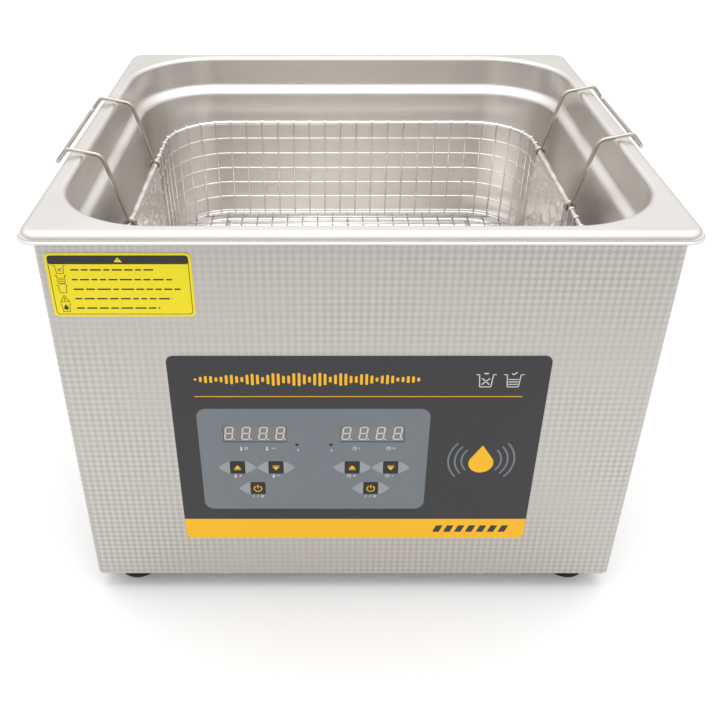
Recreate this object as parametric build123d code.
from build123d import *
import math
import os

# Ultrasonic cleaner: a gastronorm 2/3 tank in a sheet steel casing, with a wire basket that hangs
# on the tank's rim by two hooked handles, a key panel in front and a drain valve behind.
# Millimetres. Z is up, the feet stand on Z = 0 and the front face looks along -Y. Every piece is
# drawn about the middle of the tank. save() then moves them all back by SHIFT_Y, so that the
# origin lies on the floor under the middle of the whole machine, valve and handles included.

# Tank
TANK_X = 328.0  # opening at the rim, inside
TANK_Y = 300.0
TANK_R = 56.0  # its upright corners
RIM_TOP = 272.0  # rim above the floor the machine stands on
TANK_DEPTH = 150.0
TANK_WALL = 1.2
RIM_EDGE_R = 3.0  # bend from the flange into the wall
LEDGE_DROP = 23.0  # from the rim to the stacking ledge
LEDGE_HEIGHT = 4.0
LEDGE_IN = 6.0
TANK_DRAFT = 2.0  # how far the wall leans in from the ledge to the floor
FLOOR_R = 20.0  # bend from the wall into the floor
FLANGE_SIDE = 13.0  # flange width past the opening, left and right
FLANGE_END = 12.5  # the same, front and back
FLANGE_R = 11.0
LIP_DROP = 6.0  # from the rim's top to the underside of its lip
LIP_OUT = 1.25
SHOULDER_R = 4.0

# Casing
OVERHANG_SIDE = 6.75  # flange past the casing, left and right
OVERHANG_END = 8.0
SHEET = 1.0
CORNER_R = 4.0
RETURN = 12.0  # inward flanges round the base and the rear window
MOUTH_CLEAR = 0.8  # tank wall to casing
GASKET = 1.5
PANEL_INSET = 1.0  # rear panel and base plate stand back from the casing's edges
BASE_SHEET = 1.2
VENT_HIGH = 4.0
VENT_LONG = 40.0
VENT_STEP = 10.0
VENT_COUNT = 6
BASE_VENTS = ((-60.0, 85.0), (80.0, -60.0))  # middles of the two columns
REAR_VENT_X = 70.0
REAR_VENT_TOP = 33.0  # middle of the top slot, below the casing's top
REAR_VENT_COUNT = 3

# Feet and screws
FOOT_HIGH = 14.0
FOOT_TOP_R = 15.0
FOOT_LOW_R = 13.0
FOOT_INSET = 22.5
FOOT_BORE_R = 6.0
FOOT_BORE_DEEP = 8.0
SCREW_R = 2.0
SCREW_HEAD_R = 3.8
SCREW_HEAD = 2.4
SCREW_CLEAR = 0.2
SCREW_LONG = 9.0
FOOT_SCREW_LONG = 14.0

# Front panel: X from the middle, heights above the floor
FILM = 0.5
FILM_X = (-108.0, 109.0)
FILM_Z = (49.0, 192.0)
FILM_R = 4.0
GROUPS = {"heat": -60.3, "timer": 9.5}  # the two columns of keys and displays
KEY_STEP = 11.7  # up and down keys, each side of the column's middle
KEY_HIGH_ROW = 109.6
KEY_LOW_ROW = 92.5
KEY_X = 8.7
KEY_Z = 9.4
KEY_PROUD = 0.3
KEY_GAP = 0.25
KEY_TRAVEL = 0.5
KEY_R = 0.6
KEY_RIM = 1.0  # the retaining edge behind the casing, its width and its thickness
KEY_PLAY = 0.2  # from the casing back to that edge
KEY_STEM_R = 1.75
STEM_CLEAR = 0.05
STEM_BITE = 1.2  # into its switch
STEM_END = 0.3  # from a pressed stem to the bottom of its bore
DISPLAY_X = 37.5
DISPLAY_Z = (129.9, 142.5)
DISPLAY_R = 0.2
DISPLAY_SUNK = 0.3  # below the film's face
DISPLAY_GAP = 0.2
DISPLAY_BLOCK = 1.0  # the module's block behind the casing, past its window
LED_SPOTS = (-35.5, -15.2)
LED_HEIGHT = 127.7
LED_R = 1.0
LED_CLEAR = 0.1
LED_RIM = 0.6  # the lamp's collar behind the casing
LABEL_WIDE = 76.5
LABEL_HIGH = 39.0
LABEL_IN = 5.25  # from the casing's left edge
LABEL_DOWN = 11.8  # from the casing's top
LABEL = 0.25
LABEL_R = 3.0

# Control board
BOARD = 1.6
BOARD_X = (-98.0, 48.0)
BOARD_Z = (73.0, 158.0)
BOARD_GAP = 5.5  # from the casing's inner face
MODULE_GAP = 0.1  # from there to what stands on the board
BOARD_INSET = 6.0  # its fixings from its edges
STANDOFF_R = 3.0
STUD_R = 1.5
STUD_CLEAR = 0.1
STUD_END = 1.6  # past the board
TACT_HIGH = 2.5
TACT_SIDE = 6.2

# Basket
BASKET_GAP_X = 22.0  # tank opening to the rim wire's middle
BASKET_GAP_Y = 24.0
BASKET_DROP = 46.0  # rim top to the rim wire's middle
BASKET_R = 45.0
BASKET_OFF_FLOOR = 24.0  # basket's floor above the tank's
BASKET_TAPER = 4.0
RIM_WIRE_R = 1.6
FLOOR_WIRE_R = 1.25
CROSS_WIRE_R = 1.5
CROSS_STEP = 101.0
OUTLINE_IN = 9.0  # floor outline rod, inside the border rod
MESH_SHEET = 0.3  # solid sheet that stands for the welded mesh
PLATE = 0.8
PLATE_LOW = 14.0  # plate's lower edge above the basket's floor
HEM_CLEAR = 0.02
HEM_SIDE = 0.5  # from a hem's end to the handle's eye
EYE_NOTCH = 5.0

# Handles
HANDLE_WIRE_R = 1.35
HANDLE_SPAN = 95.0
HANDLE_CENTRES = {"left": -9.0, "right": 16.0}
HANDLE_BEND_R = 7.0
HOOK_BEND_R = 4.0
EYE_CLEAR = 0.05
KNEE_IN = 10.0  # first bend, inside the tank's opening
KNEE_LOW = 0.5
HOOK_TOP_IN = 2.5  # second bend, inside the flange's edge
HOOK_TOP_HIGH = 3.8
HOOK_DROP = 5.5  # the hook's cross wire, under the rim's top
HOOK_CLEAR = 0.3  # as the handle swings over the rim

# Transducers, in columns across and rows deep
SONIC_X = (-95.0, 0.0, 95.0)
SONIC_Y = (-55.0, 55.0)
FRONT_MASS_R = (26.0, 20.0)
FRONT_MASS = 26.0
PIEZO_R = 20.0
PIEZO = 6.0
PIEZO_BORE = 1.5  # their bore, past the bolt
PIEZO_COUNT = 2
BACK_MASS = 20.0
BOLT_R = 5.0
BOLT_HEAD_R = 8.0
BOLT_HEAD = 8.0
BOLT_BITE = 12.0

# Heaters and sensor, bonded to the tank
HEATER_Y = 200.0
HEATER_FOOT = FLOOR_R + 8.0  # lower edge above the tank's floor
HEATER_HEAD = 15.0  # from the upper edge to the ledge
HEATER_Z = TANK_DEPTH - LEDGE_DROP - LEDGE_HEIGHT - HEATER_HEAD - HEATER_FOOT
HEATER_MID = HEATER_FOOT + HEATER_Z / 2
HEATER = 1.5
SENSOR_R = 9.0
SENSOR = 6.0
GLUE = 0.03

# Generator board on the base plate
POWER_X = (-125.0, 45.0)
POWER_Y = (-115.0, 0.0)
POWER_SPACER = 8.0
POWER_INSET = 7.0
SINK_HIGH = 25.0
SINK_FINS = 9
SINK_FIN = 1.5
SINK_STEP = 6.0
SINK_DEEP = 80.0
SINK_BASE = 3.0
SINK_IN = 20.0  # from the board's left edge
CORE_R = 18.0
CORE_BORE_R = 8.0
CORE_HIGH = 18.0
CORE_IN = (45.0, 40.0)  # its middle, from the board's right and front edges
CAP_R = 8.0
CAP_HIGH = 24.0
CAP_STEP = 20.0
CAP_IN = (20.0, 12.0)  # the first one's middle, from the board's right and rear edges

# Wiring
LEAD_R = 1.5
LEAD_BEND_R = 9.0
LEAD_GAP = 0.05  # from a lead's end to what it is soldered to

# Rear fittings: X from the middle, heights above the floor
FAN_SIDE = 60.0
FAN_DEEP = 15.0
FAN_X = 0.0
FAN_Z = 66.0
FAN_DUCT_R = 28.5
FAN_BLADE_R = 27.5
FAN_HUB_R = 13.0
FAN_BLADES = 7
FAN_SCREW = 50.0
FAN_SHAFT_R = 1.5
FAN_SHAFT_CLEAR = 0.05
FAN_PLATE = 2.0  # the frame's bearing plate and spokes
FAN_GAP = 0.5  # from that plate to the hub
BLADE = 1.2
BLADE_DEEP = 13.0
BLADE_LEAN = 38.0
GUARD_WIRE_R = 0.9
GUARD_STEP = 6
INLET_X = -120.0
INLET_Z = 60.0
INLET_FLANGE = (50.0, 22.5, 3.0)  # across, high, thick
INLET_BODY = (27.0, 20.0, 20.0)  # across, high, deep
INLET_SOCKET = (24.0, 16.4, 12.0)
PIN = (2.0, 4.0)
PIN_SPOTS = ((-7.0, -2.0), (7.0, -2.0), (0.0, 2.0))  # live, neutral and earth, from its middle
PIN_TAIL = 28.0
PIN_PROUD = 1.0
CUTOUT_CLEAR = 0.3
SWITCH_X = -72.0
SWITCH_FLANGE = (15.6, 22.0, 2.0)
SWITCH_BODY = (13.0, 19.0, 18.0)
ROCKER_SUNK = 2.5  # its axis, inside the panel's face
ROCKER_R = 8.2
ROCKER_WIDE = 11.0
ROCKER_CLEAR = 0.3
ROCKER_TILT = 10.0
ROCKER_V = 3.0  # where its two faces meet, outside its axis
DRAIN_X = 110.0
DRAIN_Y = 105.0
DRAIN_TAIL_R = 10.0
DRAIN_TAIL = 18.0
DRAIN_CLEAR = 0.3
DRAIN_FLANGE_R = 17.0
DRAIN_FLANGE = 2.0
DRAIN_NUT = 6.0
DRAIN_NUT_AF = 27.0
PIPE_R = 7.0
PIPE_BORE_R = 5.0
PIPE_BEND_R = 20.0
PIPE_Z = 76.0
VALVE_LONG = 34.0
VALVE_AF = 22.0
VALVE_SOCKET = 9.0
BALL_R = 8.0
BALL_CLEAR = 0.05
STEM_R = 2.5
STEM_TOP = 10.0  # the stem's end, above the body
NECK = 4.0  # its neck's wall, and its height above the body
TANG = (2.0, 4.0, 1.9)  # the stem's flat end in the ball's slot
SLOT_CLEAR = 0.1
LEVER_LONG = 44.0
LEVER_WIDE = 10.0
LEVER = 2.0
LEVER_DOWN = 2.5  # from the stem's end
LEVER_TAIL = 7.0  # past the stem
BARB_LONG = 22.0
BARB_R = 5.5
BARB_BORE_R = 3.6
BARB_COLLAR = 4.0
BARB_WALL = 1.0  # of its screwed end, past the tail
BARB_COUNT = 3
BARB_STEP = 0.5  # a barb's edge, past the tail

# Worked out from the values above
FLANGE_X = TANK_X + 2 * FLANGE_SIDE
FLANGE_Y = TANK_Y + 2 * FLANGE_END
BODY_X = FLANGE_X - 2 * OVERHANG_SIDE
BODY_Y = FLANGE_Y - 2 * OVERHANG_END
FRONT = -BODY_Y / 2
BACK = BODY_Y / 2 + SHEET  # rear panel's outer face
TANK_FLOOR = RIM_TOP - TANK_DEPTH
TANK_UNDER = TANK_FLOOR - TANK_WALL
CASE_LOW = FOOT_HIGH + BASE_SHEET
CASE_TOP = RIM_TOP - TANK_WALL - GASKET
BOARD_FRONT = FRONT + SHEET + BOARD_GAP
BASKET_X = TANK_X / 2 - BASKET_GAP_X
BASKET_Y = TANK_Y / 2 - BASKET_GAP_Y
BASKET_RIM = RIM_TOP - BASKET_DROP
BASKET_FLOOR = TANK_FLOOR + BASKET_OFF_FLOOR
BASKET_DEPTH = BASKET_RIM - BASKET_FLOOR
VALVE_END = BACK + VALVE_LONG
REAR_REACH = VALVE_END + BARB_LONG
SHIFT_Y = (FLANGE_Y / 2 - REAR_REACH) / 2


def block(x, y, z):
    """A box from a (low, high) pair on each axis."""
    middle = Pos((x[0] + x[1]) / 2, (y[0] + y[1]) / 2, (z[0] + z[1]) / 2)
    return middle * Box(x[1] - x[0], y[1] - y[0], z[1] - z[0])


def slab(wide, deep, radius, low, high):
    """A plate with rounded upright corners, centred on the tank."""
    return extrude(Pos(0, 0, low) * RectangleRounded(wide, deep, radius), high - low)


def tapered(size, top, height, lean):
    """A rounded block that narrows downwards, by lean on every side."""
    section = Pos(0, 0, top) * RectangleRounded(*size)
    return extrude(section, height, dir=(0, 0, -1), taper=math.degrees(math.atan(lean / height)))


def upright(x, y, radius, low, high):
    """A round bar along Z."""
    return Solid.make_cylinder(radius, high - low, Plane(origin=(x, y, low)))


def along_y(x, z, radius, front, back):
    """A round bar along Y."""
    return Solid.make_cylinder(radius, back - front, Plane(origin=(x, front, z), z_dir=(0, 1, 0)))


def on_front(x, z, radius, inside, outside):
    """A rounded plate on the front face, from a depth inside it to a height outside."""
    plane = Plane(origin=(0, FRONT + inside, 0), x_dir=(1, 0, 0), z_dir=(0, -1, 0))
    middle = Pos((x[0] + x[1]) / 2, (z[0] + z[1]) / 2)
    return extrude(plane * middle * RectangleRounded(x[1] - x[0], z[1] - z[0], radius), inside + outside)


def grown(pair, by):
    """A (low, high) pair widened at both ends."""
    return (pair[0] - by, pair[1] + by)


def hexagon(x, y, across, low, high):
    """A hexagonal nut blank along Z."""
    radius = across / math.sqrt(3)
    return extrude(Pos(x, y, low) * RegularPolygon(radius, 6), high - low)


def wire_loop(half_x, half_y, corner, z, radius):
    """A wire bent to a rounded rectangle and welded shut."""
    path = (Pos(0, 0, z) * RectangleRounded(2 * half_x, 2 * half_y, corner)).face().outer_wire()
    profile = Plane(origin=path @ 0, z_dir=path % 0) * Circle(radius)
    return sweep(profile, path)


def screw(length):
    """A pan-head screw that points up, its head under Z = 0."""
    return upright(0, 0, SCREW_R, 0, length) + upright(0, 0, SCREW_HEAD_R, -SCREW_HEAD, 0)


def group(shapes):
    """Separate solids that share one node."""
    return Compound([solid for shape in shapes for solid in shape.solids()])


# Tank


def bowl(grow):
    """The tank's hollow, or its outside when it is grown by the wall."""
    ledge_top = RIM_TOP - LEDGE_DROP - grow / 2
    ledge_low = ledge_top - LEDGE_HEIGHT
    mouth = (TANK_X + 2 * grow, TANK_Y + 2 * grow, TANK_R + grow)
    pool = (mouth[0] - 2 * LEDGE_IN, mouth[1] - 2 * LEDGE_IN, mouth[2] - LEDGE_IN)
    upper = slab(*mouth, ledge_top, RIM_TOP)
    ledge = tapered(mouth, ledge_top, LEDGE_HEIGHT, LEDGE_IN)
    lower = tapered(pool, ledge_low, ledge_low - TANK_FLOOR + grow, TANK_DRAFT)
    lower = fillet(lower.edges().group_by(Axis.Z)[0], FLOOR_R + grow)
    return upper + ledge + lower


def tank_pan():
    low = RIM_TOP - LIP_DROP
    size = (FLANGE_X - 2 * LIP_OUT, FLANGE_Y - 2 * LIP_OUT, FLANGE_R - LIP_OUT)
    inner = (size[0] - 2 * TANK_WALL, size[1] - 2 * TANK_WALL, size[2] - TANK_WALL)
    flange = slab(*size, low, RIM_TOP)
    flange = fillet(flange.edges().group_by(Axis.Z)[-1], SHOULDER_R)
    hollow = slab(*inner, low, RIM_TOP - TANK_WALL)
    hollow = fillet(hollow.edges().group_by(Axis.Z)[-1], SHOULDER_R - TANK_WALL)
    lip = slab(FLANGE_X, FLANGE_Y, FLANGE_R, low, low + TANK_WALL) - slab(*inner, low, RIM_TOP)
    pan = flange - hollow + lip + bowl(TANK_WALL) - bowl(0)
    pan -= upright(DRAIN_X, DRAIN_Y, DRAIN_TAIL_R + DRAIN_CLEAR, TANK_UNDER - 1, TANK_FLOOR + 1)
    mouth = pan.edges().group_by(Axis.Z)[-1].filter_by(
        lambda edge: abs(edge.center().X) < TANK_X / 2 + 1 and abs(edge.center().Y) < TANK_Y / 2 + 1)
    return fillet(mouth, RIM_EDGE_R)


def mouth_ring(low, high):
    """The strip between the casing's outline and the tank's mouth."""
    extra = 2 * (TANK_WALL + MOUTH_CLEAR)
    corner = TANK_R + TANK_WALL + MOUTH_CLEAR
    return slab(BODY_X, BODY_Y, CORNER_R, low, high) - slab(
        TANK_X + extra, TANK_Y + extra, corner, low - 1, high + 1)


def rim_gasket():
    return mouth_ring(CASE_TOP, CASE_TOP + GASKET)


# Casing


def base_screw_spots():
    half_x = BODY_X / 2 - RETURN / 2
    half_y = BODY_Y / 2 - RETURN / 2
    sides = [(x, y) for x in (-half_x, half_x) for y in (-BODY_Y / 4, BODY_Y / 4)]
    ends = [(x, y) for x in (-BODY_X / 4, BODY_X / 4) for y in (-half_y, half_y)]
    return sides + ends


def rear_screw_spots():
    half_x = BODY_X / 2 - RETURN / 2
    low = CASE_LOW + RETURN
    high = CASE_TOP - RETURN
    return [(x, z) for x in (-half_x, half_x) for z in (low, (low + high) / 2, high)]


def key_spots():
    """Each key's name and its middle on the front face."""
    spots = {}
    for name, middle in GROUPS.items():
        spots[f"{name}_up"] = (middle - KEY_STEP, KEY_HIGH_ROW)
        spots[f"{name}_down"] = (middle + KEY_STEP, KEY_HIGH_ROW)
        spots[f"{name}_power"] = (middle, KEY_LOW_ROW)
    return spots


def key_area(spot, extra):
    """A key's (low, high) on X and on Z, with room round it."""
    x, z = spot
    return grown((x, x), KEY_X / 2 + extra), grown((z, z), KEY_Z / 2 + extra)


def display_area(name, extra):
    x = GROUPS[name]
    return grown((x, x), DISPLAY_X / 2 + extra), grown(DISPLAY_Z, extra)


def panel_openings(inside, outside):
    """What the keys, displays and lamps stand in, cut through the film or the casing."""
    cuts = [on_front(*key_area(spot, KEY_GAP), KEY_R + KEY_GAP, inside, outside)
            for spot in key_spots().values()]
    cuts += [on_front(*display_area(name, DISPLAY_GAP), DISPLAY_R + DISPLAY_GAP, inside, outside)
             for name in GROUPS]
    cuts += [along_y(x, LED_HEIGHT, LED_R + LED_CLEAR, FRONT - outside, FRONT + inside)
             for x in LED_SPOTS]
    return cuts


def casing_shell():
    inner = (BODY_X - 2 * SHEET, BODY_Y - 2 * SHEET, CORNER_R - SHEET)
    shell = slab(BODY_X, BODY_Y, CORNER_R, CASE_LOW, CASE_TOP - SHEET)
    shell -= slab(*inner, CASE_LOW + SHEET, CASE_TOP)
    shell += mouth_ring(CASE_TOP - SHEET, CASE_TOP)
    shell -= slab(BODY_X - 2 * RETURN, BODY_Y - 2 * RETURN, 2, CASE_LOW - 1, CASE_LOW + 2 * SHEET)
    window = (CASE_LOW + RETURN + RETURN / 2, CASE_TOP - RETURN - RETURN / 2)
    half = BODY_X / 2 - RETURN
    shell -= block((-half, half), (BODY_Y / 2 - 2 * SHEET, BODY_Y / 2 + 1), window)
    shell -= panel_openings(2 * SHEET, 1)
    hole = SCREW_R + SCREW_CLEAR
    shell -= [upright(x, y, hole, CASE_LOW - 1, CASE_LOW + 2) for x, y in base_screw_spots()]
    shell -= [along_y(x, z, hole, BODY_Y / 2 - 2, BODY_Y / 2 + 1) for x, z in rear_screw_spots()]
    return shell


def foot_spots():
    """Each foot's name and its middle."""
    half_x = BODY_X / 2 - FOOT_INSET
    half_y = BODY_Y / 2 - FOOT_INSET
    return {f"{end}_{side}": (x, y) for end, y in (("front", -half_y), ("rear", half_y))
            for side, x in (("left", -half_x), ("right", half_x))}


def power_spots():
    """The generator board's four fixings."""
    xs = (POWER_X[0] + POWER_INSET, POWER_X[1] - POWER_INSET)
    ys = (POWER_Y[0] + POWER_INSET, POWER_Y[1] - POWER_INSET)
    return [(x, y) for x in xs for y in ys]


def base_plate():
    plate = slab(BODY_X - 2 * PANEL_INSET, BODY_Y - 2 * PANEL_INSET, CORNER_R - PANEL_INSET,
                 FOOT_HIGH, CASE_LOW)
    hole = SCREW_R + SCREW_CLEAR
    spots = base_screw_spots() + list(foot_spots().values())
    plate -= [upright(x, y, hole, FOOT_HIGH - 1, CASE_LOW + 1) for x, y in spots]
    for x, y in BASE_VENTS:
        first = y - (VENT_COUNT - 1) * VENT_STEP / 2
        for i in range(VENT_COUNT):
            slot = Pos(x, first + i * VENT_STEP, FOOT_HIGH - 1) * SlotOverall(VENT_LONG, VENT_HIGH)
            plate -= extrude(slot, BASE_SHEET + 2)
    return plate


def rear_block(x, z, size, extra, y):
    """A block for a rear fitting, round its middle, with room round it."""
    return block(grown((x, x), size[0] / 2 + extra), y, grown((z, z), size[1] / 2 + extra))


def rear_panel():
    half = BODY_X / 2 - PANEL_INSET
    plate = block((-half, half), (BODY_Y / 2, BACK), (CASE_LOW + PANEL_INSET, CASE_TOP - PANEL_INSET))
    span = (BODY_Y / 2 - 1, BACK + 1)
    hole = SCREW_R + SCREW_CLEAR
    plate -= [along_y(x, z, hole, *span) for x, z in rear_screw_spots() + fan_screw_spots()]
    plate -= along_y(FAN_X, FAN_Z, FAN_DUCT_R, *span)
    plate -= along_y(DRAIN_X, PIPE_Z, PIPE_R + DRAIN_CLEAR, *span)
    plate -= [rear_block(x, INLET_Z, size, CUTOUT_CLEAR, span)
              for x, size in ((INLET_X, INLET_BODY), (SWITCH_X, SWITCH_BODY))]
    for x in (-REAR_VENT_X, REAR_VENT_X):
        for row in range(REAR_VENT_COUNT):
            z = CASE_TOP - REAR_VENT_TOP - row * VENT_STEP
            plate -= block(grown((x, x), VENT_LONG / 2), span, grown((z, z), VENT_HIGH / 2))
    return plate


def foot(spot):
    body = Pos(*spot, FOOT_HIGH / 2) * Cone(FOOT_LOW_R, FOOT_TOP_R, FOOT_HIGH)
    body -= upright(*spot, FOOT_BORE_R, -1, FOOT_BORE_DEEP)
    return body - upright(*spot, SCREW_R + SCREW_CLEAR, 0, FOOT_HIGH + 1)


def foot_screws():
    return group([Pos(x, y, FOOT_BORE_DEEP) * screw(FOOT_SCREW_LONG) for x, y in foot_spots().values()])


def base_screws():
    return group([Pos(x, y, FOOT_HIGH) * screw(SCREW_LONG) for x, y in base_screw_spots()])


def rear_panel_screws():
    turned = Rot(90, 0, 0) * screw(SCREW_LONG)
    return group([Pos(x, BACK, z) * turned for x, z in rear_screw_spots()])


# Front panel


def front_overlay():
    return on_front(FILM_X, FILM_Z, FILM_R, 0, FILM) - panel_openings(1, 1)


def caution_label():
    left = LABEL_IN - BODY_X / 2
    top = CASE_TOP - LABEL_DOWN
    return on_front((left, left + LABEL_WIDE), (top - LABEL_HIGH, top), LABEL_R, 0, LABEL)


def key(spot):
    """A key cap with a retaining edge behind the casing and a stem into its switch."""
    x, z = spot
    edge = SHEET + KEY_PLAY
    cap = on_front(*key_area(spot, 0), KEY_R, edge + KEY_RIM / 2, FILM + KEY_PROUD)
    cap = fillet(cap.faces().sort_by(Axis.Y)[0].edges(), KEY_PROUD - 0.1)
    cap += on_front(*key_area(spot, KEY_RIM), KEY_RIM, edge + KEY_RIM, -edge)
    return cap + along_y(x, z, KEY_STEM_R, FRONT + edge, BOARD_FRONT - TACT_HIGH + STEM_BITE)


def display(name):
    """A four-digit module: its window, and the wider block behind the casing."""
    behind = SHEET + MODULE_GAP
    window = on_front(*display_area(name, 0), DISPLAY_R, behind, FILM - DISPLAY_SUNK)
    return window + on_front(*display_area(name, DISPLAY_BLOCK), DISPLAY_R, SHEET + BOARD_GAP, -behind)


def indicator_leds():
    leds = []
    for x in LED_SPOTS:
        lens = along_y(x, LED_HEIGHT, LED_R, FRONT - FILM, BOARD_FRONT)
        collar = along_y(x, LED_HEIGHT, LED_R + LED_RIM, FRONT + SHEET + MODULE_GAP, BOARD_FRONT)
        leds.append(lens + collar)
    return group(leds)


def board_spots():
    xs = (BOARD_X[0] + BOARD_INSET, BOARD_X[1] - BOARD_INSET)
    zs = (BOARD_Z[0] + BOARD_INSET, BOARD_Z[1] - BOARD_INSET)
    return [(x, z) for x in xs for z in zs]


def control_board():
    board = block(BOARD_X, (BOARD_FRONT, BOARD_FRONT + BOARD), BOARD_Z)
    return board - [along_y(x, z, STUD_R + STUD_CLEAR, BOARD_FRONT - 1, BOARD_FRONT + BOARD + 1)
                    for x, z in board_spots()]


def board_standoffs():
    """Studs welded inside the casing, each with its collar."""
    pieces = []
    for x, z in board_spots():
        collar = along_y(x, z, STANDOFF_R, FRONT + SHEET, BOARD_FRONT)
        pieces.append(collar + along_y(x, z, STUD_R, FRONT + SHEET, BOARD_FRONT + BOARD + STUD_END))
    return group(pieces)


def tact_switches():
    half = TACT_SIDE / 2
    bodies = []
    for x, z in key_spots().values():
        body = block(grown((x, x), half), (BOARD_FRONT - TACT_HIGH, BOARD_FRONT), grown((z, z), half))
        bore_end = BOARD_FRONT - TACT_HIGH + STEM_BITE + KEY_TRAVEL + STEM_END
        bore = along_y(x, z, KEY_STEM_R + STEM_CLEAR, BOARD_FRONT - TACT_HIGH - 1, bore_end)
        bodies.append(body - bore)
    return group(bodies)


# Basket


def basket_shape(grow, low):
    """The basket's tapering outline, grown outwards, from its rim's middle down."""
    size = (2 * (BASKET_X + grow), 2 * (BASKET_Y + grow), BASKET_R + grow)
    return tapered(size, BASKET_RIM, BASKET_RIM - low, BASKET_TAPER * (BASKET_RIM - low) / BASKET_DEPTH)


def handle_eyes(side):
    middle = HANDLE_CENTRES[side]
    return (middle - HANDLE_SPAN / 2, middle + HANDLE_SPAN / 2)


def basket_rim():
    return wire_loop(BASKET_X, BASKET_Y, BASKET_R, BASKET_RIM, RIM_WIRE_R)


def basket_mesh():
    """A thin tub in place of the welded mesh, notched where the handles' eyes pass."""
    top = BASKET_RIM - RIM_WIRE_R
    half = MESH_SHEET / 2
    tub = basket_shape(half, BASKET_FLOOR) - basket_shape(-half, BASKET_FLOOR + MESH_SHEET)
    tub -= block((-BASKET_X - 1, BASKET_X + 1), (-BASKET_Y - 1, BASKET_Y + 1), (top, BASKET_RIM + 1))
    for side, sign in (("left", -1), ("right", 1)):
        for y in handle_eyes(side):
            tub -= block(grown((sign * BASKET_X, sign * BASKET_X), EYE_NOTCH), grown((y, y), EYE_NOTCH / 2),
                         (top - EYE_NOTCH, top + 1))
    return tub


def basket_rods():
    """The border rod round the walls' foot, the floor's outline rod and three cross rods."""
    lean = BASKET_TAPER - MESH_SHEET / 2 - FLOOR_WIRE_R
    border_z = BASKET_FLOOR + FLOOR_WIRE_R
    border = wire_loop(BASKET_X - lean + 0.1, BASKET_Y - lean + 0.1, BASKET_R - lean, border_z, FLOOR_WIRE_R)
    half_x = BASKET_X - lean - OUTLINE_IN
    half_y = BASKET_Y - lean - OUTLINE_IN
    outline_z = BASKET_FLOOR - FLOOR_WIRE_R
    outline = wire_loop(half_x, half_y, BASKET_R - lean - OUTLINE_IN, outline_z, FLOOR_WIRE_R)
    cross_z = outline_z - FLOOR_WIRE_R - CROSS_WIRE_R
    ends = BASKET_Y - lean - 2
    crosses = [along_y(x, cross_z, CROSS_WIRE_R, -ends, ends) for x in (-CROSS_STEP, 0, CROSS_STEP)]
    return group([border, outline] + crosses)


def side_plate(side, sign):
    """A bright plate inside the mesh, hemmed over the rim wire between the handle's eyes."""
    low, high = handle_eyes(side)
    gap = 2 * HANDLE_WIRE_R + HEM_SIDE
    y = (low + gap, high - gap)
    inner = RIM_WIRE_R + HEM_CLEAR
    hem = along_y(0, 0, inner + PLATE, *y) - along_y(0, 0, inner, y[0] - 1, y[1] + 1)
    hem -= block((-PLATE - inner - 1, inner), (y[0] - 1, y[1] + 1), (-RIM_WIRE_R * 2, 0))
    hem -= block((inner - 1, inner + PLATE + 1), (y[0] - 1, y[1] + 1), (-inner - PLATE - 1, -RIM_WIRE_R))
    sheet = block((-inner - PLATE, -inner), y, (PLATE_LOW - BASKET_DEPTH, 0))
    lean = math.degrees(math.atan(BASKET_TAPER / BASKET_DEPTH))
    plate = Rot(0, lean, 0) * (hem + sheet)
    if sign < 0:
        plate = mirror(plate, Plane.YZ)
    return Pos(sign * BASKET_X, 0, BASKET_RIM) * plate


def side_plates():
    return group([side_plate("left", -1), side_plate("right", 1)])


def hook_reach():
    """The hook's cross wire, from the pivot, so that it swings clear over the rim's shoulder."""
    shoulder_x = FLANGE_X / 2 - LIP_OUT - SHOULDER_R - BASKET_X
    shoulder_z = BASKET_DROP - SHOULDER_R
    reach = math.hypot(shoulder_x, shoulder_z) + SHOULDER_R + HOOK_CLEAR + HANDLE_WIRE_R
    return math.sqrt(reach ** 2 - (BASKET_DROP - HOOK_DROP) ** 2)


def handle(side, sign):
    """A bent wire: an eye round the rim wire at each foot, and a hook over the tank's flange."""
    eye_r = RIM_WIRE_R + EYE_CLEAR + HANDLE_WIRE_R
    knee = (TANK_X / 2 - KNEE_IN - BASKET_X, BASKET_DROP - KNEE_LOW)
    lean = math.hypot(*knee)
    foot_point = (eye_r * knee[0] / lean, eye_r * knee[1] / lean)
    top = (FLANGE_X / 2 - HOOK_TOP_IN - BASKET_X, BASKET_DROP + HOOK_TOP_HIGH)
    hook = (hook_reach(), BASKET_DROP - HOOK_DROP)
    low, high = handle_eyes(side)
    profile = [foot_point, knee, top, hook]
    points = [(x, low, z) for x, z in profile] + [(x, high, z) for x, z in reversed(profile)]
    bends = [HANDLE_BEND_R, HOOK_BEND_R, HOOK_BEND_R, HOOK_BEND_R, HOOK_BEND_R, HANDLE_BEND_R]
    path = FilletPolyline(*points, radius=bends)
    wire = sweep(Plane(origin=path @ 0, z_dir=path % 0) * Circle(HANDLE_WIRE_R), path)
    for y in (low, high):
        wire += Pos(0, y, 0) * Rot(90, 0, 0) * Torus(eye_r, HANDLE_WIRE_R)
    if sign < 0:
        wire = mirror(wire, Plane.YZ)
    return Pos(sign * BASKET_X, 0, BASKET_RIM) * wire


# Transducers, heaters and sensor


def sonic_spots():
    return [(x, y) for x in SONIC_X for y in SONIC_Y]


def bolt_hole(x, y, low, high):
    return upright(x, y, BOLT_R, low, high)


def transducer_front_masses():
    low = TANK_UNDER - FRONT_MASS
    masses = []
    for x, y in sonic_spots():
        cone = Pos(x, y, low + FRONT_MASS / 2) * Cone(FRONT_MASS_R[1], FRONT_MASS_R[0], FRONT_MASS)
        masses.append(cone - bolt_hole(x, y, low - 1, low + BOLT_BITE))
    return group(masses)


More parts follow.
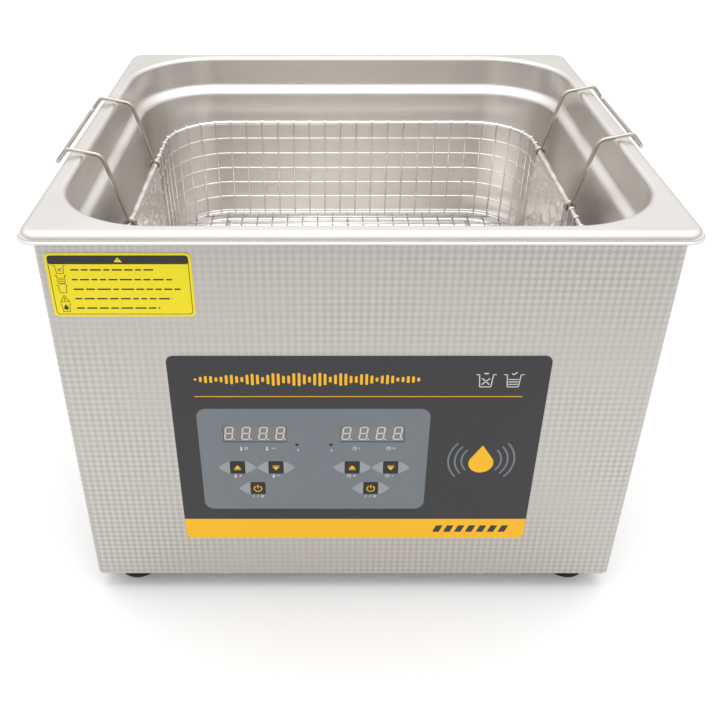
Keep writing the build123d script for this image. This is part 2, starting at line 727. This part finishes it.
def piezo_rings():
    top = TANK_UNDER - FRONT_MASS
    rings = []
    for x, y in sonic_spots():
        for i in range(PIEZO_COUNT):
            high = top - i * PIEZO
            ring = upright(x, y, PIEZO_R, high - PIEZO, high)
            rings.append(ring - upright(x, y, BOLT_R + PIEZO_BORE, high - PIEZO - 1, high + 1))
    return group(rings)


def back_mass_top():
    return TANK_UNDER - FRONT_MASS - PIEZO_COUNT * PIEZO


def transducer_back_masses():
    top = back_mass_top()
    return group([upright(x, y, PIEZO_R, top - BACK_MASS, top) - bolt_hole(x, y, top - BACK_MASS - 1, top + 1)
                  for x, y in sonic_spots()])


def transducer_bolts():
    head_top = back_mass_top() - BACK_MASS
    end = TANK_UNDER - FRONT_MASS + BOLT_BITE
    return group([upright(x, y, BOLT_R, head_top, end)
                  + upright(x, y, BOLT_HEAD_R, head_top - BOLT_HEAD, head_top)
                  for x, y in sonic_spots()])


def heater(sign):
    """A flat pad bonded to the tank's leaning side wall."""
    drop = RIM_TOP - LEDGE_DROP - LEDGE_HEIGHT - TANK_FLOOR
    lean = math.degrees(math.atan(TANK_DRAFT / drop))
    wall = TANK_X / 2 - LEDGE_IN - TANK_DRAFT * (1 - HEATER_MID / drop) + TANK_WALL
    pad = Box(HEATER, HEATER_Y, HEATER_Z)
    return Pos(sign * (wall + HEATER / 2 + GLUE), 0, TANK_FLOOR + HEATER_MID) * Rot(0, sign * lean, 0) * pad


def temperature_sensor():
    x = (SONIC_X[1] + SONIC_X[2]) / 2
    return upright(x, 0, SENSOR_R, TANK_UNDER - SENSOR, TANK_UNDER)


# Generator board


def power_top():
    """The height of the generator board's upper face."""
    return CASE_LOW + POWER_SPACER + BOARD


def generator_board():
    board = block(POWER_X, POWER_Y, (power_top() - BOARD, power_top()))
    return board - [upright(x, y, STUD_R + STUD_CLEAR, power_top() - 2 * BOARD, power_top() + 1)
                    for x, y in power_spots()]


def generator_spacers():
    spacers = []
    for x, y in power_spots():
        collar = upright(x, y, STANDOFF_R, CASE_LOW, CASE_LOW + POWER_SPACER)
        spacers.append(collar + upright(x, y, STUD_R, CASE_LOW, power_top() + STUD_END))
    return group(spacers)


def heatsink():
    x = POWER_X[0] + SINK_IN
    y = (POWER_Y[0] + POWER_Y[1]) / 2
    wide = (SINK_FINS - 1) * SINK_STEP + SINK_FIN
    deep = grown((y, y), SINK_DEEP / 2)
    sink = block((x, x + wide), deep, (power_top(), power_top() + SINK_BASE))
    for i in range(SINK_FINS):
        fin = x + i * SINK_STEP
        sink += block((fin, fin + SINK_FIN), deep, (power_top(), power_top() + SINK_HIGH))
    return sink


def output_transformer():
    x = POWER_X[1] - CORE_IN[0]
    y = POWER_Y[0] + CORE_IN[1]
    core = upright(x, y, CORE_R, power_top(), power_top() + CORE_HIGH)
    core -= upright(x, y, CORE_BORE_R, power_top() - 1, power_top() + CORE_HIGH + 1)
    return fillet(core.edges(), 3)


def filter_capacitors():
    x = POWER_X[1] - CAP_IN[0]
    y = POWER_Y[1] - CAP_IN[1]
    return group([upright(x - i * CAP_STEP, y, CAP_R, power_top(), power_top() + CAP_HIGH) for i in range(3)])


def lead(*points):
    """An insulated wire along straight runs with rounded corners."""
    path = Line(*points) if len(points) == 2 else FilletPolyline(*points, radius=LEAD_BEND_R)
    return sweep(Plane(origin=path @ 0, z_dir=path % 0) * Circle(LEAD_R), path)


def wiring_loom():
    """Mains leads to the generator, its leads to the transducers, and the control lead."""
    top = power_top() + LEAD_GAP
    tail_y = BACK - PIN_TAIL - LEAD_GAP
    leads = []
    for (pin_x, pin_z), end_x in zip(PIN_SPOTS[:2], (POWER_X[0] + 35, POWER_X[0] + 45)):
        x = INLET_X + pin_x
        z = INLET_Z + pin_z
        turn_y = POWER_Y[1] + 32
        end_y = POWER_Y[1] - 6
        leads.append(lead((x, tail_y, z), (x, turn_y, z), (end_x, end_y, top + 20), (end_x, end_y, top)))
    ring = PIEZO_R + LEAD_GAP
    height = back_mass_top() + PIEZO
    feed_x = SONIC_X[1] + PIEZO_R + 12
    leads.append(lead((feed_x, SONIC_Y[0], top), (feed_x, SONIC_Y[0], height),
                      (SONIC_X[1] + ring, SONIC_Y[0], height)))
    under = height - 2 * LEAD_R - 1
    for y in SONIC_Y:
        for left, right in zip(SONIC_X, SONIC_X[1:]):
            leads.append(lead((left + ring, y, under), (right - ring, y, under)))
    leads.append(lead((SONIC_X[2], SONIC_Y[0] + ring, under), (SONIC_X[2], SONIC_Y[1] - ring, under)))
    control = (SONIC_X[0] + SONIC_X[1]) / 2 + 10
    control_y = POWER_Y[0] + 8
    board = BOARD_FRONT + BOARD + LEAD_GAP
    leads.append(lead((control, control_y, top), (control, control_y, BOARD_Z[0] + 12),
                      (control, board, BOARD_Z[0] + 12)))
    return group(leads)


# Rear fittings


def fan_screw_spots():
    half = FAN_SCREW / 2
    return [(FAN_X + x, FAN_Z + z) for x in (-half, half) for z in (-half, half)]


def fan_span():
    return (BODY_Y / 2 - FAN_DEEP, BODY_Y / 2)


def fan_frame():
    """A square frame round a duct, with four spokes that carry the hub's bearing."""
    front, back = fan_span()
    half = FAN_SIDE / 2
    frame = block(grown((FAN_X, FAN_X), half), (front, back), grown((FAN_Z, FAN_Z), half))
    frame = fillet(frame.edges().filter_by(Axis.Y), 4)
    frame -= along_y(FAN_X, FAN_Z, FAN_DUCT_R, front - 1, back + 1)
    frame -= [along_y(x, z, SCREW_R + SCREW_CLEAR, front - 1, back + 1) for x, z in fan_screw_spots()]
    frame += along_y(FAN_X, FAN_Z, FAN_HUB_R, front, front + FAN_PLATE)
    for turn in (45, 135):
        arm = Box(2 * FAN_DUCT_R + 1, FAN_PLATE, 2 * FAN_PLATE)
        frame += Pos(FAN_X, front + FAN_PLATE / 2, FAN_Z) * Rot(0, turn, 0) * arm
    return frame - along_y(FAN_X, FAN_Z, FAN_SHAFT_R + FAN_SHAFT_CLEAR, front - 1, front + FAN_PLATE + 1)


def fan_rotor():
    """The hub with its shaft, and blades that lean across the duct."""
    front, back = fan_span()
    hub_front = front + FAN_PLATE + FAN_GAP
    rotor = along_y(FAN_X, FAN_Z, FAN_HUB_R, hub_front, back - FAN_GAP)
    rotor += along_y(FAN_X, FAN_Z, FAN_SHAFT_R, front, hub_front + 1)
    middle = (hub_front + back - FAN_GAP) / 2
    blade = Box(BLADE, BLADE_DEEP, FAN_BLADE_R - FAN_HUB_R + 1)
    blade = Pos(0, 0, (FAN_HUB_R + FAN_BLADE_R - 1) / 2) * Rot(0, 0, BLADE_LEAN) * blade
    for i in range(FAN_BLADES):
        rotor += Pos(FAN_X, middle, FAN_Z) * Rot(0, i * 360 / FAN_BLADES, 0) * blade
    return rotor


def fan_guard():
    """Concentric wires welded to two bars, with an eye at each screw."""
    y = BACK + GUARD_WIRE_R
    ring_y = y + 1.9 * GUARD_WIRE_R
    guard = None
    for radius in range(8, int(FAN_DUCT_R), GUARD_STEP):
        ring = Pos(FAN_X, ring_y, FAN_Z) * Rot(90, 0, 0) * Torus(radius, GUARD_WIRE_R)
        guard = ring if guard is None else guard + ring
    half = FAN_SCREW / 2
    for sign in (-1, 1):
        start = Vector(FAN_X - half, y, FAN_Z - sign * half)
        run = Vector(FAN_SCREW, 0, sign * FAN_SCREW)
        guard += Solid.make_cylinder(GUARD_WIRE_R, run.length, Plane(origin=start, z_dir=run))
    for x, z in fan_screw_spots():
        guard += along_y(x, z, SCREW_HEAD_R, BACK, BACK + 2 * GUARD_WIRE_R)
    hole = SCREW_R + SCREW_CLEAR
    return guard - [along_y(x, z, hole, BACK - 1, BACK + 5) for x, z in fan_screw_spots()]


def fan_screws():
    turned = Rot(90, 0, 0) * screw(FAN_DEEP + SHEET + 2 * GUARD_WIRE_R)
    return group([Pos(x, BACK + 2 * GUARD_WIRE_R, z) * turned for x, z in fan_screw_spots()])


def mains_inlet():
    """An appliance inlet: a flange outside, its body inside, and the socket for the plug."""
    depth = INLET_BODY[2]
    socket = INLET_SOCKET[2]
    body = rear_block(INLET_X, INLET_Z, INLET_FLANGE, 0, (BACK, BACK + INLET_FLANGE[2]))
    body = fillet(body.edges().filter_by(Axis.Y), INLET_FLANGE[2])
    body += rear_block(INLET_X, INLET_Z, INLET_BODY, 0, (BACK - depth, BACK + 1))
    body -= rear_block(INLET_X, INLET_Z, INLET_SOCKET, 0, (BACK - socket, BACK + INLET_FLANGE[2] + 1))
    return body - [block(x, (BACK - depth - 1, BACK - socket + 1), z) for x, z in pin_areas()]


def pin_areas():
    return [(grown((INLET_X + x, INLET_X + x), PIN[0] / 2), grown((INLET_Z + z, INLET_Z + z), PIN[1] / 2))
            for x, z in PIN_SPOTS]


def inlet_pins():
    return group([block(x, (BACK - PIN_TAIL, BACK + PIN_PROUD), z) for x, z in pin_areas()])


def rocker_pivot():
    """The rocker's axis, as (Y, Z)."""
    return (BACK - ROCKER_SUNK, INLET_Z)


def switch_body():
    y, z = rocker_pivot()
    body = rear_block(SWITCH_X, z, SWITCH_FLANGE, 0, (BACK, BACK + SWITCH_FLANGE[2]))
    body += rear_block(SWITCH_X, z, SWITCH_BODY, 0, (BACK - SWITCH_BODY[2], BACK + 1))
    half = ROCKER_WIDE / 2 + ROCKER_CLEAR
    pocket = Solid.make_cylinder(ROCKER_R + ROCKER_CLEAR, 2 * half,
                                 Plane(origin=(SWITCH_X - half, y, z), z_dir=(1, 0, 0)))
    return body - pocket


def power_rocker():
    """A drum that turns in its pocket, cut to two shallow faces that meet in the middle."""
    y, z = rocker_pivot()
    half = ROCKER_WIDE / 2
    drum = Solid.make_cylinder(ROCKER_R, ROCKER_WIDE, Plane(origin=(-half, 0, 0), z_dir=(1, 0, 0)))
    for sign in (-1, 1):
        face = Pos(0, ROCKER_R, 2 * sign * ROCKER_R) * Box(2 * ROCKER_WIDE, 2 * ROCKER_R, 4 * ROCKER_R)
        drum -= Pos(0, ROCKER_V, 0) * Rot(-sign * ROCKER_TILT, 0, 0) * face
    return Pos(SWITCH_X, y, z) * Rot(ROCKER_TILT, 0, 0) * drum


def drain_fitting():
    """A flanged tail through the tank's floor."""
    top = TANK_FLOOR + DRAIN_FLANGE
    body = upright(DRAIN_X, DRAIN_Y, DRAIN_FLANGE_R, TANK_FLOOR, top)
    body += upright(DRAIN_X, DRAIN_Y, DRAIN_TAIL_R, TANK_UNDER - DRAIN_TAIL, top)
    body -= upright(DRAIN_X, DRAIN_Y, PIPE_BORE_R, 0, top + 1)
    return body - upright(DRAIN_X, DRAIN_Y, PIPE_R, 0, TANK_UNDER - DRAIN_TAIL / 2)


def drain_nut():
    nut = hexagon(DRAIN_X, DRAIN_Y, DRAIN_NUT_AF, TANK_UNDER - DRAIN_NUT, TANK_UNDER)
    return nut - upright(DRAIN_X, DRAIN_Y, DRAIN_TAIL_R, TANK_UNDER - DRAIN_NUT - 1, TANK_UNDER + 1)


def drain_pipe():
    """A bent tube from the tank's drain down and back through the rear panel."""
    path = FilletPolyline((DRAIN_X, DRAIN_Y, TANK_UNDER - DRAIN_TAIL / 2), (DRAIN_X, DRAIN_Y, PIPE_Z),
                          (DRAIN_X, BACK + VALVE_SOCKET, PIPE_Z), radius=PIPE_BEND_R)
    ring = Circle(PIPE_R) - Circle(PIPE_BORE_R)
    return sweep(Plane(origin=path @ 0, z_dir=path % 0) * ring, path)


def valve_middle():
    return BACK + VALVE_LONG / 2


def valve_body():
    """A hexagonal body round the ball, with a socket for the pipe and a neck for the stem."""
    end = Plane(origin=(DRAIN_X, BACK, PIPE_Z), z_dir=(0, 1, 0))
    body = extrude(end * RegularPolygon(VALVE_AF / math.sqrt(3), 6), VALVE_LONG)
    middle = valve_middle()
    body += upright(DRAIN_X, middle, STEM_R + NECK, PIPE_Z, PIPE_Z + VALVE_AF / 2 + NECK)
    body -= along_y(DRAIN_X, PIPE_Z, PIPE_BORE_R, BACK - 1, VALVE_END + 1)
    body -= along_y(DRAIN_X, PIPE_Z, PIPE_R, BACK - 1, BACK + VALVE_SOCKET)
    body -= along_y(DRAIN_X, PIPE_Z, BARB_R + BARB_WALL, VALVE_END - VALVE_SOCKET, VALVE_END + 1)
    body -= Pos(DRAIN_X, middle, PIPE_Z) * Sphere(BALL_R + BALL_CLEAR)
    return body - upright(DRAIN_X, middle, STEM_R + BALL_CLEAR, PIPE_Z, PIPE_Z + VALVE_AF)


def valve_ball():
    """The ball, bored through and slotted for the stem. At rest it shuts the pipe."""
    centre = Pos(DRAIN_X, valve_middle(), PIPE_Z)
    ball = Sphere(BALL_R) - Rot(0, 90, 0) * Cylinder(PIPE_BORE_R, 3 * BALL_R)
    slot = Box(TANG[0] + 2 * SLOT_CLEAR, 2 * BALL_R, 2 * (TANG[2] + SLOT_CLEAR))
    return centre * (ball - Pos(0, 0, BALL_R) * slot)


def valve_lever():
    """Stem and lever: a tang in the ball's slot, and a flat arm across the pipe when shut."""
    middle = valve_middle()
    base = PIPE_Z + BALL_R + SLOT_CLEAR
    top = PIPE_Z + VALVE_AF / 2 + STEM_TOP
    stem = upright(DRAIN_X, middle, STEM_R, base, top)
    stem += block(grown((DRAIN_X, DRAIN_X), TANG[0] / 2), grown((middle, middle), TANG[1] / 2),
                  (base - TANG[2], base + SLOT_CLEAR))
    arm = block((DRAIN_X - LEVER_LONG, DRAIN_X + LEVER_TAIL), grown((middle, middle), LEVER_WIDE / 2),
                (top - LEVER - LEVER_DOWN, top - LEVER_DOWN))
    arm = fillet(arm.edges().filter_by(Axis.Z), LEVER_WIDE / 2 - 0.1)
    return stem + arm


def hose_barb():
    """A tail with three barbs for a hose, screwed into the valve."""
    step = (BARB_LONG - BARB_COLLAR) / BARB_COUNT
    screwed = BARB_R + BARB_WALL
    collar = BARB_R + 3 * BARB_WALL
    points = [(BARB_BORE_R, -VALVE_SOCKET), (screwed, -VALVE_SOCKET), (screwed, 0), (collar, 0),
              (collar, BARB_COLLAR)]
    for i in range(BARB_COUNT):
        foot_z = BARB_COLLAR + i * step
        points += [(BARB_R - BARB_STEP, foot_z), (BARB_R + BARB_STEP, foot_z + 2 * BARB_STEP)]
    points += [(BARB_R - BARB_STEP, BARB_LONG), (BARB_BORE_R, BARB_LONG)]
    outline = make_face(Polyline(*points, close=True))
    turned = revolve(Plane.XZ * outline, Axis.Z)
    return Pos(DRAIN_X, VALVE_END, PIPE_Z) * Rot(-90, 0, 0) * turned


def save(name, shape):
    """Moves a piece to the machine's own frame and writes its file."""
    export_step(Pos(0, SHIFT_Y, 0) * shape, f"parts/{name}.step")


def pieces():
    """Every node's name with its solids."""
    made = {
        "tank_pan": tank_pan(),
        "rim_gasket": rim_gasket(),
        "casing_shell": casing_shell(),
        "rear_panel": rear_panel(),
        "base_plate": base_plate(),
        "foot_screws": foot_screws(),
        "base_screws": base_screws(),
        "rear_panel_screws": rear_panel_screws(),
        "front_overlay": front_overlay(),
        "caution_label": caution_label(),
        "display_heat": display("heat"),
        "display_timer": display("timer"),
        "indicator_leds": indicator_leds(),
        "control_board": control_board(),
        "board_standoffs": board_standoffs(),
        "tact_switches": tact_switches(),
        "basket_rim": basket_rim(),
        "basket_mesh": basket_mesh(),
        "basket_rods": basket_rods(),
        "side_plates": side_plates(),
        "handle_left": handle("left", -1),
        "handle_right": handle("right", 1),
        "transducer_front_masses": transducer_front_masses(),
        "piezo_rings": piezo_rings(),
        "transducer_back_masses": transducer_back_masses(),
        "transducer_bolts": transducer_bolts(),
        "heater_left": heater(-1),
        "heater_right": heater(1),
        "temperature_sensor": temperature_sensor(),
        "wiring_loom": wiring_loom(),
        "generator_board": generator_board(),
        "generator_spacers": generator_spacers(),
        "heatsink": heatsink(),
        "output_transformer": output_transformer(),
        "filter_capacitors": filter_capacitors(),
        "fan_frame": fan_frame(),
        "fan_rotor": fan_rotor(),
        "fan_guard": fan_guard(),
        "fan_screws": fan_screws(),
        "mains_inlet": mains_inlet(),
        "inlet_pins": inlet_pins(),
        "switch_body": switch_body(),
        "power_rocker": power_rocker(),
        "drain_fitting": drain_fitting(),
        "drain_nut": drain_nut(),
        "drain_pipe": drain_pipe(),
        "valve_body": valve_body(),
        "valve_ball": valve_ball(),
        "valve_lever": valve_lever(),
        "hose_barb": hose_barb(),
    }
    for name, spot in foot_spots().items():
        made[f"foot_{name}"] = foot(spot)
    for name, spot in key_spots().items():
        made[f"key_{name}"] = key(spot)
    return made


os.makedirs("parts", exist_ok=True)
for node, solids in pieces().items():
    save(node, solids)
